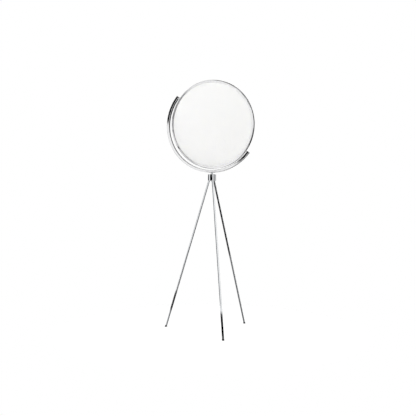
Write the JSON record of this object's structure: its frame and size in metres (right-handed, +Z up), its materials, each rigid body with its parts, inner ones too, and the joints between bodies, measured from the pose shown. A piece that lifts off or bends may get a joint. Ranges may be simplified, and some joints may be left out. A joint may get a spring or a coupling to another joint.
{
  "type": "disc floor lamp",
  "caption": "Floor lamp on a slim tripod: a half-circle channel slides over a swivel neck and holds a thin round light panel that tilts between its ends.",
  "frame": {"origin": "on the floor, under the middle of the whole lamp's box", "axes": "+Z up; the head faces -Y; +X to the right seen from the front; the swivel axis stands 22.5 mm to the right of the origin"},
  "size_m": [0.7488, 0.69, 1.9962],
  "materials": {
    "polished_chrome": "bright chrome plate on polished steel",
    "plated_aluminium": "bright chrome plate on polished aluminium section",
    "foot_rubber": "matt moulded black rubber",
    "gasket_rubber": "matt black rubber",
    "opal_acrylic": "opal white acrylic sheet, satin face",
    "clear_acrylic": "clear acrylic sheet",
    "reflector_film": "matt white film",
    "bare_aluminium": "plain mill finish",
    "zinc_steel": "bright zinc plate",
    "spring_steel": "blued spring steel",
    "moulded_nylon": "natural moulded nylon",
    "coated_aluminium": "white powder coat on aluminium sheet",
    "painted_steel": "black painted steel",
    "circuit_strip": "white solder mask",
    "light_chips": "yellow phosphor"
  },
  "bodies": {
    "tripod": {"tripod_hub": "polished_chrome", "leg_1": "polished_chrome", "leg_2": "polished_chrome", "leg_3": "polished_chrome", "foot_1": "foot_rubber", "foot_2": "foot_rubber", "foot_3": "foot_rubber", "leg_inserts": "zinc_steel", "leg_studs": "zinc_steel", "swivel_bush": "moulded_nylon", "hub_cover": "painted_steel", "cable_bush": "gasket_rubber"},
    "swivel": {"swivel_spindle": "polished_chrome", "swivel_washer": "zinc_steel", "swivel_spring": "spring_steel", "swivel_nut": "zinc_steel", "arc_carriage": "bare_aluminium", "carriage_shoes": "moulded_nylon", "brake_shoes": "moulded_nylon", "brake_springs": "spring_steel"},
    "arc": {"arc_channel": "plated_aluminium", "arc_end_upper": "plated_aluminium", "arc_end_lower": "plated_aluminium", "pivot_bush_upper": "moulded_nylon", "pivot_bush_lower": "moulded_nylon"},
    "head": {"head_rim": "plated_aluminium", "diffuser_gasket": "gasket_rubber", "diffuser": "opal_acrylic", "light_guide": "clear_acrylic", "reflector_sheet": "reflector_film", "strip_carrier": "bare_aluminium", "light_strip": "circuit_strip", "light_chips": "light_chips", "back_panel": "coated_aluminium", "panel_screws": "zinc_steel", "pivot_block_upper": "zinc_steel", "pivot_block_lower": "zinc_steel", "pivot_pin_upper": "zinc_steel", "pivot_pin_lower": "zinc_steel", "pivot_washer_upper": "moulded_nylon", "pivot_washer_lower": "moulded_nylon", "terminal_block": "moulded_nylon"}
  },
  "joints": [
    {"name": "head_swivel", "type": "hinge", "parent": "tripod", "child": "swivel", "pos_m": [0.0225, 0, 1.247], "axis": [0, 0, 1], "range_deg": [-170, 170]},
    {"name": "arc_slide", "type": "hinge", "parent": "swivel", "child": "arc", "pos_m": [0.0225, 0, 1.6451], "axis": [0, 1, 0], "range_deg": [-118, 42]},
    {"name": "head_tilt", "type": "hinge", "parent": "arc", "child": "head", "pos_m": [0.0225, 0, 1.6451], "axis": [0.788, 0, -0.6157], "range_deg": [-170, 170]}
  ]
}
